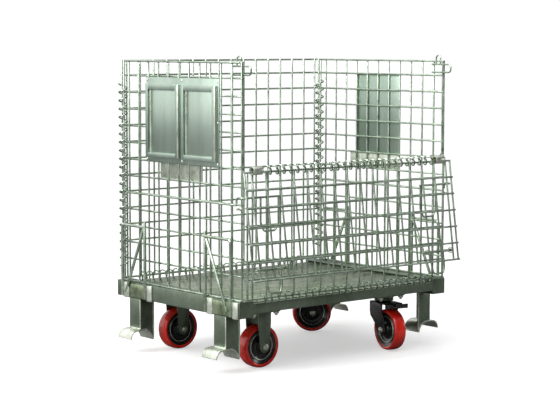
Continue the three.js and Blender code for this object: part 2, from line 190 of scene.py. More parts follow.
# finishes: cloud, spangle and stretch scale the patterns, dark and light are their two tints
steelLooks = {
    # zincSheet's dark tints hold painted shade: the dark reflection on the rails and channels is darkened
    # into their base colour
    "zincSheet": {
        "slot": "galvanised_steel", "dark": (0.15, 0.19, 0.135), "light": (0.27, 0.325, 0.25),
        "cloud": 6, "spangle": 160, "spangleShare": 0.12, "stretch": (1, 1, 0.6),
        "rough": (0.3, 0.38), "bump": 0.025, "metal": 0.92,
    },
    # zincPanel is the same galvanised steel in lighter tints, a painted reflection of the bright horizon on
    # the label holders
    "zincPanel": {
        "slot": "galvanised_steel", "dark": (0.36, 0.46, 0.385), "light": (0.52, 0.625, 0.54),
        "cloud": 4, "spangle": 200, "spangleShare": 0.06, "stretch": (1, 2.4, 0.35),
        "rough": (0.3, 0.38), "bump": 0.012, "metal": 0.95,
    },
    "zincFloor": {
        "slot": "galvanised_steel", "dark": (0.17, 0.225, 0.12), "light": (0.46, 0.54, 0.37),
        "cloud": 9, "spangle": 60, "spangleShare": 0.25, "stretch": (1, 2.2, 1),
        "rough": (0.16, 0.34), "bump": 0.12, "metal": 0.95,
    },
    "zincWire": {
        "slot": "wire_zinc", "dark": (0.28, 0.36, 0.275), "light": (0.6, 0.69, 0.58),
        "cloud": 38, "spangle": 420, "spangleShare": 0.2, "stretch": (1, 1, 1),
        "rough": (0.24, 0.4), "bump": 0.03, "metal": 0.94,
    },
    "zincCoil": {
        "slot": "wire_zinc", "dark": (0.15, 0.195, 0.145), "light": (0.46, 0.54, 0.45),
        "cloud": 60, "spangle": 420, "spangleShare": 0.25, "stretch": (1, 1, 1),
        "rough": (0.18, 0.34), "bump": 0.04, "metal": 1.0,
    },
    "zincPale": {
        "slot": "pale_zinc", "dark": (0.55, 0.6, 0.49), "light": (0.88, 0.92, 0.82),
        "cloud": 30, "spangle": 220, "spangleShare": 0.2, "stretch": (1, 1, 1),
        "rough": (0.24, 0.42), "bump": 0.05, "metal": 0.85,
    },
    "blackEnamel": {
        "slot": "black_steel", "dark": (0.006, 0.007, 0.007), "light": (0.03, 0.032, 0.03),
        "cloud": 25, "spangle": 300, "spangleShare": 0.15, "stretch": (1, 1, 1),
        "rough": (0.22, 0.4), "bump": 0.04, "metal": 0.3,
    },
    "redTread": {
        "slot": "red_tread", "dark": (0.66, 0.01, 0.006), "light": (0.95, 0.032, 0.014),
        "cloud": 18, "spangle": 500, "spangleShare": 0.08, "stretch": (1, 1, 1),
        "rough": (0.2, 0.32), "bump": 0.02, "metal": 0.0,
    },
}

grain = {
    "detail": 5, "noiseRough": 0.62, "tintFrom": 0.34, "tintTo": 0.66,
    "roughFrom": 0.3, "roughTo": 0.7, "fineScale": 6, "fineDetail": 3, "bumpDepth": 0.002,
    "coat": 0.5, "coatRough": 0.08,
}


def makeFinish(name, look):
    made = bpy.data.materials.new(name)
    made.use_nodes = True
    nodes, links = made.node_tree.nodes, made.node_tree.links
    shader = nodes["Principled BSDF"]
    shader.inputs["Metallic"].default_value = look["metal"]
    if look["metal"] < 0.5:  # paint and rubber have a clear coat
        shader.inputs["Coat Weight"].default_value = grain["coat"]
        shader.inputs["Coat Roughness"].default_value = grain["coatRough"]
    place = nodes.new("ShaderNodeTexCoord")
    turn = nodes.new("ShaderNodeMapping")
    turn.inputs["Scale"].default_value = look["stretch"]
    links.new(place.outputs["Object"], turn.inputs["Vector"])
    cloud = nodes.new("ShaderNodeTexNoise")
    cloud.inputs["Scale"].default_value = look["cloud"]
    cloud.inputs["Detail"].default_value = grain["detail"]
    cloud.inputs["Roughness"].default_value = grain["noiseRough"]
    links.new(turn.outputs[0], cloud.inputs["Vector"])
    spangle = nodes.new("ShaderNodeTexVoronoi")
    spangle.inputs["Scale"].default_value = look["spangle"]
    links.new(turn.outputs[0], spangle.inputs["Vector"])
    mixed = nodes.new("ShaderNodeMix")
    mixed.data_type = "RGBA"
    mixed.inputs[0].default_value = look["spangleShare"]
    links.new(cloud.outputs["Fac"], mixed.inputs[6])
    links.new(spangle.outputs["Color"], mixed.inputs[7])
    tint = nodes.new("ShaderNodeValToRGB")
    tint.color_ramp.elements[0].position = grain["tintFrom"]
    tint.color_ramp.elements[0].color = (*look["dark"], 1)
    tint.color_ramp.elements[1].position = grain["tintTo"]
    tint.color_ramp.elements[1].color = (*look["light"], 1)
    links.new(mixed.outputs[2], tint.inputs[0])
    links.new(tint.outputs[0], shader.inputs["Base Color"])
    rough = nodes.new("ShaderNodeMapRange")
    rough.inputs["From Min"].default_value = grain["roughFrom"]
    rough.inputs["From Max"].default_value = grain["roughTo"]
    rough.inputs["To Min"].default_value = look["rough"][0]
    rough.inputs["To Max"].default_value = look["rough"][1]
    links.new(cloud.outputs["Fac"], rough.inputs["Value"])
    links.new(rough.outputs[0], shader.inputs["Roughness"])
    fine = nodes.new("ShaderNodeTexNoise")
    fine.inputs["Scale"].default_value = look["cloud"] * grain["fineScale"]
    fine.inputs["Detail"].default_value = grain["fineDetail"]
    links.new(turn.outputs[0], fine.inputs["Vector"])
    relief = nodes.new("ShaderNodeBump")
    relief.inputs["Strength"].default_value = look["bump"]
    relief.inputs["Distance"].default_value = grain["bumpDepth"]
    links.new(fine.outputs["Fac"], relief.inputs["Height"])
    links.new(relief.outputs[0], shader.inputs["Normal"])
    return made


finishes = {name: makeFinish(name, look) for name, look in steelLooks.items()}
print("finishes made")


# middle of the base, and how far each cut end is rounded, as a share of its radius
baseY = sum(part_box("left_rail"), Vector()).y / 2
wireEndRound = 0.3
nutRound = 0.1


def at(x, y, z):  # a place measured from the middle of the base
    return Vector((x, y + baseY, z))


def newEnd(made):  # the far face of what an extrusion made
    faces = [g for g in made if isinstance(g, bmesh.types.BMFace)]
    return faces[0]


def turnTo(direction):  # turns local Z to a direction
    return Vector(direction).to_track_quat("Z", "Y").to_matrix().to_4x4()


def roundEdges(bm, edges, width, segments=2, clamp=False):
    bmesh.ops.bevel(
        bm, geom=list(edges), offset=width, offset_type="OFFSET", segments=segments,
        profile=0.5, affect="EDGES", material=-1, clamp_overlap=clamp)


def straightWire(bm, start, end, radius, around=10):
    start, end = Vector(start), Vector(end)
    along = end - start
    made = bmesh.ops.create_cone(
        bm, cap_ends=True, segments=around, radius1=radius, radius2=radius,
        depth=along.length, matrix=Matrix.Translation((start + end) / 2) @ turnTo(along))
    caps = {f for v in made["verts"] for f in v.link_faces if len(f.verts) == around}
    rims = {e for f in caps for e in f.edges}
    roundEdges(bm, rims, radius * wireEndRound)


def bentWire(bm, corners, radius, bend=0.008, around=10, steps=5):
    corners = [Vector(c) for c in corners]
    heading = (corners[1] - corners[0]).normalized()
    made = bmesh.ops.create_circle(
        bm, cap_ends=True, segments=around, radius=radius,
        matrix=Matrix.Translation(corners[0]) @ turnTo(heading))
    end = made["verts"][0].link_faces[0]
    here = corners[0]
    for i in range(1, len(corners)):
        corner = corners[i]
        last = i == len(corners) - 1
        onward = heading if last else (corners[i + 1] - corner).normalized()
        angle = 0 if last else heading.angle(onward)
        back = bend * math.tan(angle / 2)
        stop = corner - heading * back
        made = bmesh.ops.extrude_face_region(bm, geom=[end])["geom"]
        end = newEnd(made)
        bmesh.ops.translate(bm, vec=stop - here, verts=end.verts[:])
        here = stop
        if not last:
            axis = heading.cross(onward).normalized()
            made = bmesh.ops.spin(
                bm, geom=[end], cent=here + axis.cross(heading) * bend, axis=axis,
                angle=angle, steps=steps, use_merge=False)["geom_last"]
            end = newEnd(made)
            here = corner + onward * back
            heading = onward


def coilSpring(bm, start, axis, outward, radius, wireRadius, rise, turns, around=8, steps=16):
    axis, outward = Vector(axis), Vector(outward).normalized()
    heading = (axis.cross(outward) * 2 * math.pi * radius + axis * rise).normalized()
    made = bmesh.ops.create_circle(
        bm, cap_ends=True, segments=around, radius=wireRadius,
        matrix=Matrix.Translation(Vector(start) + outward * radius) @ turnTo(heading))
    bmesh.ops.spin(
        bm, geom=[made["verts"][0].link_faces[0]], cent=start, axis=axis,
        dvec=axis * rise / steps, angle=2 * math.pi * turns, steps=int(steps * turns),
        use_merge=False)


def slab(bm, low, high):
    low, high = Vector(low), Vector(high)
    size = [abs(b - a) for a, b in zip(low, high)]
    bmesh.ops.create_cube(
        bm, size=1, matrix=Matrix.Translation((low + high) / 2) @ Matrix.Diagonal((*size, 1)))


def prism(bm, outline, run):
    face = bm.faces.new([bm.verts.new(p) for p in outline])
    made = bmesh.ops.extrude_face_region(bm, geom=[face])["geom"]
    bmesh.ops.translate(bm, vec=run, verts=newEnd(made).verts[:])


def soften(bm, width, segments=2, above=28):
    edges = [e for e in bm.edges if e.is_manifold and e.calc_face_angle() > math.radians(above)]
    roundEdges(bm, edges, width, segments, True)


def lathe(bm, profile, steps=48):  # profile of (radius, along) turned about local Y
    verts = [bm.verts.new((r, y, 0)) for r, y in profile]
    edges = [bm.edges.new(pair) for pair in zip(verts, verts[1:] + verts[:1])]
    bmesh.ops.spin(
        bm, geom=verts + edges, cent=(0, 0, 0), axis=(0, 1, 0), angle=2 * math.pi,
        steps=steps, use_merge=True)


def dome(bm, place, radius, flatten, across):
    squash = Matrix.Diagonal((1, 1, flatten, 1))
    bmesh.ops.create_uvsphere(
        bm, u_segments=12, v_segments=8, radius=radius,
        matrix=Matrix.Translation(place) @ turnTo(across) @ squash)


def hexNut(bm, place, across, radius, height):
    made = bmesh.ops.create_cone(
        bm, cap_ends=True, segments=6, radius1=radius, radius2=radius, depth=height,
        matrix=Matrix.Translation(place) @ turnTo(across))
    edges = {e for v in made["verts"] for e in v.link_edges}
    roundEdges(bm, edges, radius * nutRound)


def fromCad(node):  # a merged copy of a CAD mesh, ready to have its edges softened
    bm = bmesh.new()
    bm.from_mesh(frame["nodes"][node].data)
    bmesh.ops.remove_doubles(bm, verts=bm.verts, dist=1e-5)
    bmesh.ops.dissolve_limit(
        bm, angle_limit=math.radians(1), verts=bm.verts, edges=bm.edges, delimit=set())
    return bm


def finishPiece(name, bm, finish, body, standsFor=(), crease=38):
    bmesh.ops.recalc_face_normals(bm, faces=bm.faces[:])
    mesh = bpy.data.meshes.new(name)
    bm.to_mesh(mesh)
    bm.free()
    mesh.shade_smooth()
    mesh.set_sharp_from_angle(angle=math.radians(crease))
    mesh.materials.append(finishes[finish])
    piece = bpy.data.objects.new(name, mesh)
    bpy.context.scene.collection.objects.link(piece)
    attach(piece, body)
    if standsFor:
        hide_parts(*standsFor)
    return piece


# welded mesh of the side walls and the back wall
wallMesh = {
    "wire": 0.00275,  # radius
    "stand": 0.0042,  # the rows lie this far off the uprights
    "pitch": 0.05,
    "fullRows": 12,
    "top": 0.876,
    "topCell": 0.043,
    "bottom": 0.2172,
    "sideDepth": 0.57,  # from a side wall's hinge to its front edge
    "backGap": 0.01,  # from that hinge to the back wall
    "frontCell": 0.0427,
    "fullColumns": 10,
    "backColumns": (-0.374, 0.326),
    "backLast": 0.372,
    "pastHinge": 0.0012,  # wire ends that stand out behind a side wall's hinge
    "pastCorner": 0.0015,  # and beside the back wall's corners
    "topWire": 0.0046,  # a second top wire lies this far outside the wall
    "topWireFront": 0.004,
    "topWireRear": 0.02,
    "frameTop": 0.003,
    "frameFront": 0.001,
    "frameZ": 0.587,  # the side wall's upper frame turns back just above a row
    "frameReach": 0.05,
    "frameBend": 0.016,
    "thickRod": 0.003,
    "thickRodZ": 0.483,
    "thickRodShort": 0.018,
    "weldSink": 0.0005,
}
wallX = jointAt["right_side_swing"].x
sideHingeY = jointAt["left_side_swing"].y - baseY
frontEdgeY = sideHingeY - wallMesh["sideDepth"]
backY = sideHingeY + wallMesh["backGap"]
gateHinge = jointAt["gate_fold"]
gateY = gateHinge.y - baseY
flapAxis = jointAt["flap_fold"]


def spaced(first, last, by):
    count = int(round((last - first) / by))
    return [first + by * i for i in range(count + 1)]


topRow = wallMesh["top"] - wallMesh["topCell"]
firstRow = topRow - wallMesh["fullRows"] * wallMesh["pitch"]
evenRows = spaced(firstRow, topRow, wallMesh["pitch"])
wallRows = [wallMesh["bottom"], *evenRows[1:], wallMesh["top"]]


def sideWall(side, s):
    bm = bmesh.new()
    r, pitch = wallMesh["wire"], wallMesh["pitch"]
    top, bottom = wallMesh["top"], wallMesh["bottom"]
    upright = s * wallX
    inside = s * (wallX - wallMesh["stand"])
    outside = s * (wallX + wallMesh["stand"])
    second = frontEdgeY + wallMesh["frontCell"]
    last = second + wallMesh["fullColumns"] * pitch
    for y in [frontEdgeY, *spaced(second, last, pitch), sideHingeY]:
        straightWire(bm, at(upright, y, bottom - r), at(upright, y, top + r), r)
    rear = sideHingeY + wallMesh["pastHinge"]
    for z in wallRows:  # the lowest row lies outside, clear of the back hinge when folded
        x = outside if z == bottom else inside
        straightWire(bm, at(x, frontEdgeY - r, z), at(x, rear, z), r)
    x = s * (wallX + wallMesh["topWire"])
    front, rear = frontEdgeY + wallMesh["topWireFront"], sideHingeY - wallMesh["topWireRear"]
    straightWire(bm, at(x, front, top), at(x, rear, top), r)
    y, z = frontEdgeY + wallMesh["frameFront"], wallMesh["frameZ"]
    stop = frontEdgeY + wallMesh["frameReach"]
    bentWire(
        bm, [at(inside, y, top - wallMesh["frameTop"]), at(inside, y, z), at(inside, stop, z)],
        r, wallMesh["frameBend"])
    finishPiece(f"{side}_side_wires", bm, "zincWire", f"{side}_side", [f"{side}_side_mesh"])
    bm = bmesh.new()
    thick, short = wallMesh["thickRod"], wallMesh["thickRodShort"]
    x, z = s * (wallX + r + thick - wallMesh["weldSink"]), wallMesh["thickRodZ"]
    straightWire(bm, at(x, frontEdgeY + short, z), at(x, sideHingeY - short, z), thick)
    finishPiece(f"{side}_side_rod", bm, "zincWire", f"{side}_side")


def backWall():
    bm = bmesh.new()
    r, past = wallMesh["wire"], wallMesh["pastCorner"]
    first, last = wallMesh["backColumns"]
    for x in [-wallX, *spaced(first, last, wallMesh["pitch"]), wallMesh["backLast"], wallX]:
        straightWire(bm, at(x, backY, gateHinge.z), at(x, backY, wallMesh["top"] + r), r)
    row = backY + wallMesh["stand"]
    for z in wallRows[2:]:
        straightWire(bm, at(-wallX - past, row, z), at(wallX + past, row, z), r)
    straightWire(bm, at(-wallX - r, backY, gateHinge.z), at(wallX + r, backY, gateHinge.z), r)
    finishPiece("back_wires", bm, "zincWire", "base", ["back_mesh"])


for side, s in sides:
    sideWall(side, s)
backWall()
print("walls made")


# lower front gate and upper flap, with the staples that their latches slide in
gateWires = {
    "halfWidth": 0.38, "firstColumn": -0.362, "columnSpan": 0.7, "topZ": 0.575, "rows": 6,
    "guideZ": 0.475, "guideX": (0.34, 0.276), "guideHalf": 0.0062,
}
flapWires = {
    "halfWidth": 0.3975, "firstColumn": -0.372, "columnSpan": 0.75, "length": 0.3,
    "lean": math.radians(8.1), "boltAt": 0.2705, "boltOff": -0.0085,
    "guideX": (-0.372, -0.272, 0.278, 0.374), "guideHalf": 0.0068,
}
guide = {"rod": 0.0016, "foot": 0.001, "reach": 0.0145, "bend": 0.0035}
hingeStep = 0.004  # from the flap's axis to the wire on each side of it
flapPlace = (
    Matrix.Translation(flapAxis + Vector((0, -hingeStep, -hingeStep)))
    @ Matrix.Rotation(math.pi - flapWires["lean"], 4, "X"))


def guideStaple(bm, place, across, half):
    place, across = Vector(place), Vector(across) * half
    foot, tip = Vector((0, -guide["foot"], 0)), Vector((0, -guide["reach"], 0))
    corners = [place - across + foot, place - across + tip, place + across + tip, place + across + foot]
    bentWire(bm, corners, guide["rod"], guide["bend"], 8, 3)


def gatePanel():
    bm = bmesh.new()
    r, pitch = wallMesh["wire"], wallMesh["pitch"]
    half, top = gateWires["halfWidth"], gateWires["topZ"]
    first = gateWires["firstColumn"]
    for x in [-half, *spaced(first, first + gateWires["columnSpan"], pitch), half]:
        straightWire(bm, at(x, gateY, gateHinge.z), at(x, gateY, top), r)
    for z in (gateHinge.z, top):
        straightWire(bm, at(-half - r, gateY, z), at(half + r, gateY, z), r)
    row = gateY + wallMesh["stand"]
    for z in spaced(top - gateWires["rows"] * pitch, top - pitch, pitch):
        straightWire(bm, at(-half - r, row, z), at(half + r, row, z), r)
    finishPiece("gate_wires", bm, "zincWire", "gate", ["gate_mesh"])
    bm = bmesh.new()
    for s in (-1, 1):
        for x in gateWires["guideX"]:
            place = at(s * x, gateY, gateWires["guideZ"])
            guideStaple(bm, place, (1, 0, 0), gateWires["guideHalf"])
    finishPiece("gate_latch_guides", bm, "zincPale", "gate")


def flapPanel():
    bm = bmesh.new()
    r, pitch, stand = wallMesh["wire"], wallMesh["pitch"], wallMesh["stand"]
    half, length = flapWires["halfWidth"], flapWires["length"]
    first = flapWires["firstColumn"]
    for x in [-half, *spaced(first, first + flapWires["columnSpan"], pitch), half]:
        straightWire(bm, (x, 0, 0), (x, 0, length + r), r)
    straightWire(bm, (-half - r, 0, 0), (half + r, 0, 0), r)
    for v in spaced(pitch, length, pitch):
        straightWire(bm, (-half - r, stand, v), (half + r, stand, v), r)
    bm.transform(flapPlace)
    finishPiece("flap_wires", bm, "zincWire", "flap", ["flap_mesh"])
    bm = bmesh.new()
    for x in flapWires["guideX"]:
        guideStaple(bm, (x, 0, flapWires["boltAt"]), (0, 0, 1), flapWires["guideHalf"])
    bm.transform(flapPlace)
    finishPiece("flap_bolt_guides", bm, "zincPale", "flap")


gatePanel()
flapPanel()
print("gate and flap made")


# coil hinges between the walls, and the two sleeves of the flap's hinge
coils = {
    "wire": 0.0022, "rise": 0.025, "wallRadius": 0.0122, "baseRadius": 0.0106,
    "wallBottom": 0.258, "wallTurns": 22,
    "wallAngle": {"left": 160, "right": 20},  # where each coil starts, in degrees
    "baseAngle": 315, "flapAngle": 0,
    "gateStart": -0.337, "gateTurns": 27,
    "backStart": -0.324, "backTurns": 26,
    "flapStart": -0.3211, "flapTurns": 26,
    "sleeves": {"left": (-0.3685, -0.334), "right": (0.337, 0.3742)},
    "sleeveRadius": 0.0118, "sleeveBore": 0.0098, "sleeveEdge": 0.0005,
}


def wallCoils():
    for side, s in sides:
        bm = bmesh.new()
        angle = math.radians(coils["wallAngle"][side])
        start = at(s * wallX, (sideHingeY + backY) / 2, coils["wallBottom"])
        coilSpring(
            bm, start, (0, 0, 1), (math.cos(angle), math.sin(angle), 0),
            coils["wallRadius"], coils["wire"], coils["rise"], coils["wallTurns"])
        finishPiece(f"rear_{side}_hinge_coil", bm, "zincCoil", "base", [f"rear_{side}_coil"])


def lyingCoil(hinge, body, node, y, z, radius, degrees):
    bm = bmesh.new()
    angle = math.radians(degrees)
    coilSpring(
        bm, (coils[f"{hinge}Start"], y, z), (1, 0, 0), (0, math.cos(angle), math.sin(angle)),
        radius, coils["wire"], coils["rise"], coils[f"{hinge}Turns"])
    finishPiece(f"{hinge}_hinge_coil", bm, "zincCoil", body, [node])


def baseCoils():
    radius, degrees = coils["baseRadius"], coils["baseAngle"]
    for hinge, wallY in (("gate", gateY), ("back", backY)):
        y = baseY + wallY + hingeStep
        lyingCoil(hinge, "base", f"{hinge}_base_coil", y, gateHinge.z, radius, degrees)


def flapCoil():
    radius, degrees = coils["wallRadius"], coils["flapAngle"]
    lyingCoil("flap", "gate", "flap_coil", flapAxis.y, flapAxis.z, radius, degrees)


def sleeve(side):
    start, stop = coils["sleeves"][side]
    half = (stop - start) / 2
    bore, radius = coils["sleeveBore"], coils["sleeveRadius"]
    bm = bmesh.new()
    lathe(bm, [(bore, -half), (radius, -half), (radius, half), (bore, half)], 32)
    soften(bm, coils["sleeveEdge"], 2, 50)
    place = Matrix.Translation((start + half, flapAxis.y, flapAxis.z))
    bm.transform(place @ Matrix.Rotation(math.pi / 2, 4, "Z"))
    finishPiece(f"{side}_hinge_sleeve", bm, "zincPale", "gate")


wallCoils()
baseCoils()
flapCoil()
for side, s in sides:
    sleeve(side)
print("coil hinges made")


# drop latches on the gate, slide bolts on the flap, eyes, loops and lugs on the side walls
latch = {
    "rod": 0.003, "armX": 0.403, "armZ": 0.505, "armEnd": 0.272, "armBend": 0.008,
    "off": 0.0085, "hookBack": 0.007, "hookDrop": 0.016,
    "gripX": (0.34, 0.276), "gripNarrow": -0.012, "gripStraight": 0.07, "gripReach": 0.095,
    "gripBend": 0.009,
}
bolt = {
    "rod": 0.004, "inner": 0.262, "outer": 0.381,
    "gripX": (0.292, 0.344), "gripNarrow": 0.007, "gripStraight": 0.046, "gripReach": 0.066,
    "gripBend": 0.008,
}
eye = {
    "rod": 0.0024, "z": 0.854, "half": 0.012, "reach": 0.046, "bend": 0.0105,
    "loopY": 0.019, "loopHalf": 0.009, "loopBend": 0.0085,
    "lug": 0.003, "lugHead": 0.006, "lugHeadThick": 0.003,
}


def gripCorners(part):  # how far sideways and how far out each corner of a handle lies
    near, far = part["gripX"]
    narrow, straight, reach = part["gripNarrow"], part["gripStraight"], part["gripReach"]
    return [
        (near, 0), (near, straight), (near + narrow, reach),
        (far - narrow, reach), (far, straight), (far, 0)]


def gateLatch(side, s):
    bm = bmesh.new()
    y, z = gateY - latch["off"], latch["armZ"]
    x, back = s * latch["armX"], frontEdgeY + latch["hookBack"]
    arm = [at(s * latch["armEnd"], y, z), at(x, y, z), at(x, back, z), at(x, back, z - latch["hookDrop"])]
    bentWire(bm, arm, latch["rod"], latch["armBend"])
    grip = [at(s * across, y, z - down) for across, down in gripCorners(latch)]
    bentWire(bm, grip, latch["rod"], latch["gripBend"])
    body = f"gate_{side}_latch"
    finishPiece(f"gate_{side}_drop_latch", bm, "zincWire", body, [f"gate_{side}_latch"])


def flapBolt(side, s):
    bm = bmesh.new()
    y, v = flapWires["boltOff"], flapWires["boltAt"]
    straightWire(bm, (s * bolt["inner"], y, v), (s * bolt["outer"], y, v), bolt["rod"], 12)
    grip = [(s * across, y, v + up) for across, up in gripCorners(bolt)]
    bentWire(bm, grip, latch["rod"], bolt["gripBend"])
    bm.transform(flapPlace)
    body = f"flap_{side}_bolt"
    finishPiece(f"flap_{side}_slide_bolt", bm, "zincWire", body, [f"flap_{side}_bolt"])


def sideFittings(side, s):
    bm = bmesh.new()
    low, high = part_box(f"{side}_latch_eye")
    x, r = (low.x + high.x) / 2, eye["rod"]
    edge = frontEdgeY + baseY
    tip, tail = low.y + r, edge + eye["reach"]
    over, under = eye["z"] + eye["half"], eye["z"] - eye["half"]
    corners = [(x, tail, over), (x, tip, over), (x, tip, under), (x, tail, under)]
    bentWire(bm, corners, r, eye["bend"], 10, 8)
    front, rear = edge + eye["loopY"] - eye["loopHalf"], edge + eye["loopY"] + eye["loopHalf"]
    top = high.z - r
    corners = [(x, front, over), (x, front, top), (x, rear, top), (x, rear, over)]
    bentWire(bm, corners, r, eye["loopBend"], 10, 8)
    finishPiece(f"{side}_eye_and_loop", bm, "zincWire", f"{side}_side", [f"{side}_latch_eye"])
    bm = bmesh.new()
    low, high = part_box(f"{side}_gate_lug")
    y, z = (low.y + high.y) / 2, (low.z + high.z) / 2
    inner, outer = (high.x, low.x) if s < 0 else (low.x, high.x)
    straightWire(bm, (inner, y, z), (outer, y, z), eye["lug"], 12)
    headEnd = inner + s * eye["lugHeadThick"]
    straightWire(bm, (inner, y, z), (headEnd, y, z), eye["lugHead"], 16)
    finishPiece(f"{side}_latch_lug", bm, "zincPale", f"{side}_side", [f"{side}_gate_lug"])


for side, s in sides:
    gateLatch(side, s)
    flapBolt(side, s)
    sideFittings(side, s)
print("latches made")


# label holders: two framed pockets on the left wall, a plain sheet on the right
holder = {
    "sheet": 0.0016, "sheetEdge": 0.0006, "header": 0.019, "footer": 0.014,
    "pocketStep": 0.0875, "pocketHalf": 0.082, "rim": 0.018, "narrowRim": 0.0126,
    "frameFoot": 0.0012, "frameEdge": 0.0012,
    "insert": 0.0045, "insertLow": 0.0108, "insertHigh": 0.0162, "insertEdge": 0.0008,
    "sink": 0.001, "slot": 0.009, "slotLip": 0.0018, "slotLipWidth": 0.0035, "slotLipOver": 0.0005,
    "lip": 0.0034, "lipOff": 0.0035,
    "rivet": 0.0032, "rivetFlat": 0.7, "rivetTop": 0.008, "rivetBottom": 0.007, "rivetSide": 0.006,
    "backingOff": 0.00445, "backingEdge": 0.0004,
}
rightHolder = {"footZ": 0.582, "sheetY": 0.103, "seam": 0.0006, "edge": 0.0005}


def pocket(frames, inserts, lips, y, wallFace, outX, bottom, top):
    rim, narrow, sink = holder["rim"], holder["narrowRim"], holder["sink"]
    first, last = y - holder["pocketHalf"], y + holder["pocketHalf"]
    left, right = first + rim, last - narrow
    foot = wallFace - holder["frameFoot"]
    slab(frames, (outX, first, bottom), (foot, left, top))
    slab(frames, (outX, right, bottom), (foot, last, top))
    slab(frames, (outX, left, top - rim), (foot, right, top))
    slab(frames, (outX, left, bottom), (foot, right, bottom + narrow))
    low, high = bottom + holder["insertLow"], top - holder["insertHigh"]
    slot = right - holder["slot"]
    slab(
        inserts, (outX + holder["insert"], left - sink, low), (wallFace - sink, slot, high))
    # the slot's lip and the side fold are real folds; their pale zinc is a painted highlight
    slab(
        lips, (outX + holder["slotLip"], slot - holder["slotLipWidth"], low),
        (wallFace - sink, slot + holder["slotLipOver"], high))
    x, side = outX + sink, first + holder["lipOff"]
    straightWire(lips, (x, side, bottom + sink), (x, side, top - sink), holder["lip"], 12)


def labelHolder():
    low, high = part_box("left_label_holder")
    outX, wallFace = low.x, high.x
    middleY, middleZ = (low.y + high.y) / 2, (low.z + high.z) / 2
    sheetX = wallFace - holder["sheet"]
    bm = bmesh.new()
    slab(bm, (wallFace, low.y, low.z), (sheetX, high.y, high.z))
    soften(bm, holder["sheetEdge"])
    finishPiece("left_holder_sheet", bm, "zincPanel", "left_side", ["left_label_holder"])
    frames, inserts, lips, rivets = (bmesh.new() for _ in range(4))
    top, bottom = high.z - holder["header"], low.z + holder["footer"]
    for y in (middleY - holder["pocketStep"], middleY + holder["pocketStep"]):
        pocket(frames, inserts, lips, y, wallFace, outX, bottom, top)
    soften(frames, holder["frameEdge"], 3)
    soften(inserts, holder["insertEdge"], 2)
    finishPiece("left_holder_frames", frames, "zincPanel", "left_side")
    finishPiece("left_holder_inserts", inserts, "zincPanel", "left_side")
    # pale zinc on the folded lips: a painted highlight on real folds
    finishPiece("left_holder_lips_highlight", lips, "zincPale", "left_side")
    rows = (high.z - holder["rivetTop"], middleZ, low.z + holder["rivetBottom"])
    for y in (low.y + holder["rivetSide"], middleY, high.y - holder["rivetSide"]):
        for z in rows:
            dome(rivets, (sheetX, y, z), holder["rivet"], holder["rivetFlat"], (-1, 0, 0))
    finishPiece("left_holder_rivets", rivets, "zincPale", "left_side")
    bm = bmesh.new()
    low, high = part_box("left_inner_plate")
    inward = holder["backingOff"]
    slab(bm, (low.x + inward, low.y, low.z), (high.x + inward, high.y, high.z))
    soften(bm, holder["backingEdge"])
    finishPiece("left_backing_plate", bm, "zincPale", "left_side", ["left_inner_plate"])


def rightPlate():
    low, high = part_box("right_label_plate")
    footZ, edge = rightHolder["footZ"], rightHolder["edge"]
    bm = bmesh.new()
    slab(bm, (low.x, low.y, footZ), (high.x, baseY + rightHolder["sheetY"], high.z))
    soften(bm, edge)
    finishPiece("right_holder_sheet", bm, "zincPanel", "right_side", ["right_label_plate"])
    bm = bmesh.new()
    slab(bm, (low.x, low.y, low.z), (high.x, high.y, footZ - rightHolder["seam"]))
    soften(bm, edge)
    finishPiece("right_holder_foot", bm, "zincPale", "right_side")


labelHolder()
rightPlate()
print("label holders made")


# base: rails, members, floor, feet and saddles
base = {
    "sheet": 0.003, "railEdge": 0.0012, "railOuter": 0.3, "railInner": 0.262, "railBottom": 0.178,
    "rod": 0.0026, "rodHalf": 0.376, "tabSink": 0.0015,
    "tabs": {"front": (-0.3026, -0.0026, 0.2974), "rear": (-0.3146, -0.0146, 0.2854)},
    "memberEdge": 0.001, "floorEdge": 0.0006, "footEdge": 0.0012,
}
saddleShape = {
    "plate": 0.004, "edge": 0.0009,
    "inner": [
        (-0.042, 0.047), (-0.038, 0.06), (-0.03, 0.0675), (-0.018, 0.07), (0, 0.071),
        (0.012, 0.0695), (0.022, 0.064), (0.03, 0.054), (0.036, 0.04)],
}
# weld beads, and the pale outer corner rod, which is partly a painted highlight
weldAndHighlight = {
    "rod": 0.0026, "thinRod": 0.0018, "seatZ": 0.0768, "seatIn": 0.002, "seatEnds": 0.003,
    "cornerIn": 0.0008, "cornerTop": 0.001, "innerOut": 0.0012, "innerFront": 0.0005,
    "innerLow": 0.004, "innerTop": 0.003,
}


def endRail(end, e):
    memberLow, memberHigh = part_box("front_cross_member")
    length, top, bottom = memberHigh.x, memberHigh.z, base["railBottom"]
    outer, inner = e * base["railOuter"], e * base["railInner"]
    t = e * base["sheet"]
    under = top - base["sheet"]
    section = [
        (outer, bottom), (outer, top), (inner, top), (inner, bottom),
        (inner + t, bottom), (inner + t, under), (outer - t, under), (outer - t, bottom)]
    bm = bmesh.new()
    prism(bm, [at(-length, y, z) for y, z in section], (2 * length, 0, 0))
    soften(bm, base["railEdge"], 3)
    finishPiece(f"{end}_rail_channel", bm, "zincSheet", "base", [f"{end}_rail"])
    bm = bmesh.new()
    y = (gateY if e < 0 else backY) + 2 * hingeStep
    straightWire(bm, at(-base["rodHalf"], y, gateHinge.z), at(base["rodHalf"], y, gateHinge.z), base["rod"])
    for x in base["tabs"][end]:
        straightWire(bm, at(x, y, top - base["tabSink"]), at(x, y, gateHinge.z), base["rod"], 10)
    finishPiece(f"{end}_hinge_rod", bm, "zincWire", "base")
    bm = fromCad(f"{end}_cross_member")
    soften(bm, base["memberEdge"], 2)
    finishPiece(f"{end}_caster_member", bm, "zincSheet", "base", [f"{end}_cross_member"])


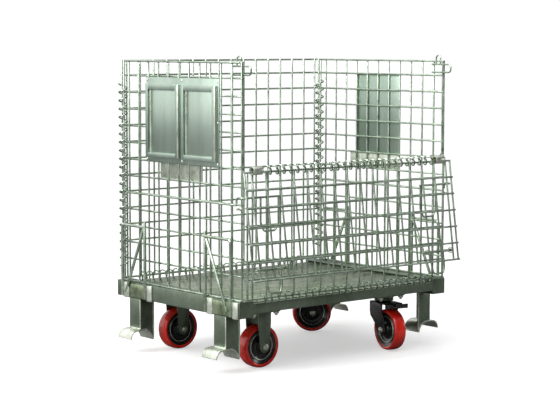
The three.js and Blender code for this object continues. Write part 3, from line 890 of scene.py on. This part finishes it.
def rails():
    for side, s in sides:
        bm = fromCad(f"{side}_rail")
        soften(bm, base["railEdge"], 3)
        finishPiece(f"{side}_rail_channel", bm, "zincSheet", "base", [f"{side}_rail"])
    for end, e in ends:
        endRail(end, e)
    bm = fromCad("floor_sheet")
    soften(bm, base["floorEdge"], 2)
    finishPiece("floor_plate", bm, "zincFloor", "base", ["floor_sheet"])


def smoothLine(points, parts=4):  # a curve that passes through every point
    points = [Vector(p) for p in points]
    padded = [points[0], *points, points[-1]]
    line = []
    for a, b, c, d in zip(padded, padded[1:], padded[2:], padded[3:]):
        for i in range(parts):
            t = i / parts
            line.append(b + (c - a) * t / 2 + (2 * a - 5 * b + 4 * c - d) * t * t / 2
                        + (3 * b - a - 3 * c + d) * t ** 3 / 2)
    return [*line, points[-1]]


def saddle(end, side, s):
    low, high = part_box(f"{end}_{side}_saddle")
    inner = smoothLine(saddleShape["inner"])
    outer = []
    for i, p in enumerate(inner):
        along = (inner[min(i + 1, len(inner) - 1)] - inner[max(i - 1, 0)]).normalized()
        outer.append(p + Vector((-along.y, along.x)) * saddleShape["plate"])
    bm = bmesh.new()
    outline = [*inner, *reversed(outer)]
    prism(bm, [Vector((-s * p.x + s * wallX, low.y, p.y)) for p in outline], (0, high.y - low.y, 0))
    soften(bm, saddleShape["edge"], 2, 50)
    name = f"{end}_{side}_stacking_saddle"
    finishPiece(name, bm, "zincPale", "base", [f"{end}_{side}_saddle"], 45)


def foot(end, side, s):
    bm = fromCad(f"{end}_{side}_foot")
    soften(bm, base["footEdge"], 2)
    finishPiece(f"{end}_{side}_leg", bm, "zincSheet", "base", [f"{end}_{side}_foot"])
    low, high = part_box(f"{end}_{side}_foot")
    outer, inner = (low.x, high.x) if s < 0 else (high.x, low.x)
    bm = bmesh.new()  # weld beads on the saddle's seat and the inner edge; the pale rod on the outer corner is a seam weld and a painted highlight of the bent corner
    x, z = outer - s * weldAndHighlight["seatIn"], weldAndHighlight["seatZ"]
    front, rear = low.y + weldAndHighlight["seatEnds"], high.y - weldAndHighlight["seatEnds"]
    straightWire(bm, (x, front, z), (x, rear, z), weldAndHighlight["rod"], 8)
    # a pale rod down the outer corner: partly a seam weld, partly a painted highlight on the bend
    x, y = outer - s * weldAndHighlight["cornerIn"], low.y + weldAndHighlight["cornerIn"]
    straightWire(bm, (x, y, z), (x, y, high.z - weldAndHighlight["cornerTop"]), weldAndHighlight["thinRod"], 8)
    x, y = inner + s * weldAndHighlight["innerOut"], low.y + weldAndHighlight["innerFront"]
    bottom, top = low.z + weldAndHighlight["innerLow"], high.z - weldAndHighlight["innerTop"]
    straightWire(bm, (x, y, bottom), (x, y, top), weldAndHighlight["rod"], 8)
    finishPiece(f"{end}_{side}_leg_weld", bm, "zincPale", "base")


rails()
for end, e in ends:
    for side, s in sides:
        saddle(end, side, s)
        foot(end, side, s)
print("base made")


# bent rod guards beside the walls, each on a plate with two pressed ribs
guard = {
    "rod": 0.0045, "x": 0.405, "inner": 0.148, "outer": 0.265, "low": 0.17, "top": 0.386,
    "postOver": 0.015, "bend": 0.009, "braceTop": 0.006, "braceIn": 0.017, "braceUp": 0.012,
    "plateX": (0.4003, 0.403), "plateEnds": 0.012, "plateTop": 0.21, "edge": 0.0008,
    "ribX": 0.402, "ribWidth": 0.026, "ribDepth": 0.0048, "ribLow": 0.166, "ribHigh": 0.2125,
}


def guardRods(end, e, side, s):
    x, r = s * guard["x"], guard["rod"]
    low, top = guard["low"], guard["top"]
    inner, outer = guard["inner"], guard["outer"]
    bm = bmesh.new()
    straightWire(bm, at(x, e * inner, low), at(x, e * inner, top + guard["postOver"]), r, 14)
    corners = [at(x, e * outer, low), at(x, e * outer, top), at(x, e * inner, top)]
    bentWire(bm, corners, r, guard["bend"], 14)
    over = at(x, e * (inner + guard["braceTop"]), top - guard["braceTop"])
    under = at(x, e * (outer - guard["braceIn"]), low + guard["braceUp"])
    straightWire(bm, over, under, r, 14)
    finishPiece(f"{end}_{side}_guard_rods", bm, "zincWire", "base", [f"{end}_{side}_guard"])


def guardPlate(end, e, side, s):
    inner, outer = guard["inner"], guard["outer"]
    near, far = guard["plateX"]
    ys = sorted((e * (inner - guard["plateEnds"]), e * (outer + guard["plateEnds"])))
    bm = bmesh.new()
    slab(bm, at(s * near, ys[0], guard["low"]), at(s * far, ys[1], guard["plateTop"]))
    soften(bm, guard["edge"])
    finishPiece(f"{end}_{side}_guard_plate", bm, "zincFloor", "base")
    low, high, width = guard["ribLow"], guard["ribHigh"], guard["ribWidth"]
    shape = Matrix.Diagonal((guard["ribDepth"] * 2, width, high - low, 1))
    bm = bmesh.new()
    for post in (inner, outer):
        y = e * post - guard["rod"] - width / 2
        place = Matrix.Translation(at(s * guard["ribX"], y, (low + high) / 2))
        bmesh.ops.create_cone(
            bm, cap_ends=True, segments=24, radius1=0.5, radius2=0.5, depth=1,
            matrix=place @ shape)
    soften(bm, guard["edge"], 2, 50)
    finishPiece(f"{end}_{side}_guard_ribs", bm, "zincPale", "base")


for end, e in ends:
    for side, s in sides:
        guardRods(end, e, side, s)
        guardPlate(end, e, side, s)
print("guards made")


# casters: two fixed ones, and two that swivel and have a brake
caster = {
    "wheel": 0.0625, "cheek": 0.0035, "cheekY": 0.0265, "hub": 0.0175, "hubSide": 1.05,
    "cheekEdge": 0.0011, "straight": 0.03, "crownThick": 0.004,
    "fixedHalf": 0.0235, "fixedSink": 0.0005, "fixedSideZ": 0.012,
    "swivelHalf": 0.034, "swivelDrop": 0.0223, "swivelReach": 0.058,
    "swivelFront": (-0.03, 0.1), "swivelRear": (0.042, 0.1),
    "plateX": 0.052, "plateY": 0.042, "plateThick": 0.004, "plateCorner": 0.008, "plateEdge": 0.0007,
}
wheelParts = {
    "ring": 0.0392, "ringRod": 0.0016, "ringY": 0.0138,
    "pin": 0.0058, "pinLeft": 0.039, "pinRight": 0.035, "nutY": 0.0335, "nut": 0.010, "nutThick": 0.006,
}
plateBolt = {
    "x": 0.041, "y": 0.031, "rod": 0.0042, "length": 0.012, "nut": 0.0085, "nutThick": 0.0068,
    "nutDown": 0.0035,
}
# half sections, each point a radius and a place along the axle
tyreProfile = [
    (0.0515, -0.0175), (0.0545, -0.0192), (0.0578, -0.0195), (0.0602, -0.0178), (0.0616, -0.0142),
    (0.0623, -0.0085), (0.0625, 0.0), (0.0623, 0.0085), (0.0616, 0.0142), (0.0602, 0.0178),
    (0.0578, 0.0195), (0.0545, 0.0192), (0.0515, 0.0175)]
rimHalf = [
    (0.0064, -0.0210), (0.0165, -0.0210), (0.0178, -0.0198), (0.0182, -0.0120), (0.0220, -0.0095),
    (0.0330, -0.0100), (0.0380, -0.0130), (0.0460, -0.0145), (0.0500, -0.0170), (0.0517, -0.0172)]
rimProfile = [*rimHalf, *((r, -y) for r, y in reversed(rimHalf))]
raceProfile = [  # each point a radius and a height below the plate's top
    (0.0, 0.022), (0.0215, 0.022), (0.0262, 0.0205), (0.0295, 0.0165), (0.0285, 0.0125),
    (0.0302, 0.0095), (0.03, 0.006), (0.0265, 0.0035), (0.0, 0.0035)]


def wheel(prefix, body, axleBody, place):
    for name, profile, finish, nodes in (
        ("tread", tyreProfile, "redTread", [f"{prefix}_tyre"]),
        ("wheel_core", rimProfile, "blackEnamel", [f"{prefix}_rim"]),
    ):
        bm = bmesh.new()
        lathe(bm, profile, 72)
        bm.transform(place)
        finishPiece(f"{prefix}_{name}", bm, finish, body, nodes, 50)
    bm = bmesh.new()
    r, middle = wheelParts["ringRod"], wheelParts["ring"]
    for y in (-wheelParts["ringY"], wheelParts["ringY"]):
        turns = [i * math.pi / 4 for i in range(8)]
        lathe(bm, [(middle + r * math.cos(a), y + r * math.sin(a)) for a in turns], 56)
    bm.transform(place)
    finishPiece(f"{prefix}_wheel_ring", bm, "zincPale", body)
    bm = bmesh.new()
    left, right = -wheelParts["pinLeft"], wheelParts["pinRight"]
    straightWire(bm, (0, left, 0), (0, right, 0), wheelParts["pin"], 16)
    for y in (-wheelParts["nutY"], wheelParts["nutY"]):
        hexNut(bm, (0, y, 0), (0, 1, 0), wheelParts["nut"], wheelParts["nutThick"])
    bm.transform(place)
    finishPiece(f"{prefix}_axle_bolt", bm, "zincPale", axleBody, [f"{prefix}_axle"])


def cheekOutline(offset, half, crown):
    r, hubZ = caster["hub"], caster["wheel"]
    turns = [math.radians(190 + 160 * i / 12) for i in range(13)]
    arc = [(offset + r * math.cos(a), hubZ + r * math.sin(a)) for a in turns]
    side, sideZ = r * caster["hubSide"], hubZ + caster["fixedSideZ"]
    front = (-side, sideZ) if offset == 0 else caster["swivelFront"]
    rear = (side, sideZ) if offset == 0 else caster["swivelRear"]
    low = crown - caster["straight"]
    return [(-half, crown), (-half, low), front, *arc, rear, (half, low), (half, crown)]


def fork(name, body, node, finish, offset, half, crown, place):
    bm = bmesh.new()
    outline = cheekOutline(offset, half, crown)
    span = caster["cheekY"] + caster["cheek"]
    for y in (-span, caster["cheekY"]):
        prism(bm, [Vector((x, y, z)) for x, z in outline], (0, caster["cheek"], 0))
    reach = half if offset == 0 else caster["swivelReach"]
    slab(bm, (-half, -span, crown - caster["crownThick"]), (reach, span, crown))
    soften(bm, caster["cheekEdge"], 2)
    bm.transform(place)
    finishPiece(name, bm, finish, body, [node])


def topPlate(name, place, top, nodes, extra=None):
    x, y, under = caster["plateX"], caster["plateY"], top - caster["plateThick"]
    bm = bmesh.new()
    slab(bm, (-x, -y, under), (x, y, top))
    upright = [e for e in bm.edges if abs((e.verts[0].co - e.verts[1].co).z) > caster["plateThick"] / 2]
    roundEdges(bm, upright, caster["plateCorner"], 4)
    soften(bm, caster["plateEdge"], 2, 50)
    if extra:
        extra(bm)
    bm.transform(place)
    finishPiece(name, bm, "zincSheet", "base", nodes)


def plateBolts(name, place, top):
    under = top - caster["plateThick"]
    nutZ = under - plateBolt["nutDown"]
    bm = bmesh.new()
    for x in (-plateBolt["x"], plateBolt["x"]):
        for y in (-plateBolt["y"], plateBolt["y"]):
            hexNut(bm, (x, y, nutZ), (0, 0, 1), plateBolt["nut"], plateBolt["nutThick"])
            end = under - plateBolt["length"]
            straightWire(bm, (x, y, end), (x, y, under), plateBolt["rod"], 12)
    bm.transform(place)
    finishPiece(name, bm, "zincPale", "base")


def ballRace(bm):  # turned apart, then joined to the plate
    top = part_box("front_swivel_plate")[1].z
    race = bmesh.new()
    lathe(race, [(radius, top - down) for radius, down in raceProfile], 40)
    race.transform(Matrix.Rotation(math.pi / 2, 4, "X"))
    bmesh.ops.remove_doubles(race, verts=race.verts, dist=1e-6)
    scratch = bpy.data.meshes.new("race")
    race.to_mesh(scratch)
    race.free()
    bm.from_mesh(scratch)
    bpy.data.meshes.remove(scratch)


def fixedCaster(end):
    hub = jointAt[f"{end}_fixed_wheel_spin"]
    place = Matrix.Translation((hub.x, hub.y, 0))
    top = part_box(f"{end}_fixed_fork")[1].z
    crown = top - caster["plateThick"] + caster["fixedSink"]
    fork(
        f"{end}_fixed_cheeks", "base", f"{end}_fixed_fork", "zincSheet", 0, caster["fixedHalf"],
        crown, place)
    topPlate(f"{end}_fixed_plate", place, top, [])
    plateBolts(f"{end}_fixed_plate_bolts", place, top)
    wheel(f"{end}_fixed", f"{end}_fixed_wheel", "base", Matrix.Translation(hub))


def swivelCaster(end):
    pivot = jointAt[f"{end}_swivel_turn"]
    hub = jointAt[f"{end}_swivel_wheel_spin"]
    heading = math.atan2(hub.y - pivot.y, hub.x - pivot.x)
    mount = Matrix.Translation((pivot.x, pivot.y, 0))
    turned = mount @ Matrix.Rotation(heading, 4, "Z")
    trail = math.hypot(hub.x - pivot.x, hub.y - pivot.y)
    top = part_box(f"{end}_swivel_plate")[1].z
    topPlate(f"{end}_swivel_top", mount, top, [f"{end}_swivel_plate"], ballRace)
    plateBolts(f"{end}_swivel_plate_bolts", mount, top)
    fork(
        f"{end}_swivel_cheeks", f"{end}_swivel", f"{end}_swivel_fork", "blackEnamel", trail,
        caster["swivelHalf"], top - caster["swivelDrop"], turned)
    wheel(
        f"{end}_swivel", f"{end}_swivel_wheel", f"{end}_swivel",
        turned @ Matrix.Translation((trail, 0, hub.z)))
    bm = fromCad(f"{end}_brake_pedal")
    soften(bm, 0.001, 2)
    pedal = f"{end}_brake_pedal"
    finishPiece(f"{end}_brake_lever", bm, "blackEnamel", pedal, [pedal])


for end, e in ends:
    fixedCaster(end)
    swivelCaster(end)
print("casters made")
